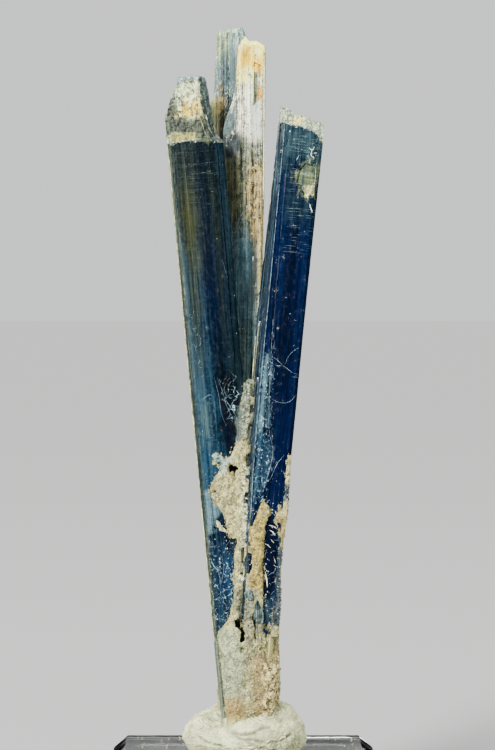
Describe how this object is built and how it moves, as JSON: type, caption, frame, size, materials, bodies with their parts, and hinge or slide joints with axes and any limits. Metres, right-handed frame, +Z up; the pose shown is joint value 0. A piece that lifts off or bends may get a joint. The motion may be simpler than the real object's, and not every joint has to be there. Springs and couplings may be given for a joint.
{
  "type": "kyanite blade cluster",
  "caption": "Upright spray of flat blue kyanite blades in a quartz crust, pressed into putty on a clear square display block.",
  "frame": {"origin": "middle of the display block's underside, on the surface that it stands on", "axes": "+Z up along the blades, -Y towards the show side, +X to the viewer's right"},
  "size_m": [0.0572, 0.0572, 0.1669],
  "materials": {
    "blue_kyanite": "polished",
    "pale_kyanite": "satin",
    "grey_kyanite": "satin",
    "quartz": "matte",
    "putty": "matte",
    "acrylic": "gloss"
  },
  "bodies": {
    "root": {"left_blade": "blue_kyanite", "right_blade": "blue_kyanite", "pale_blade": "pale_kyanite", "back_blade": "grey_kyanite", "quartz_crust": "quartz", "putty": "putty", "acrylic_block": "acrylic"}
  },
  "joints": []
}
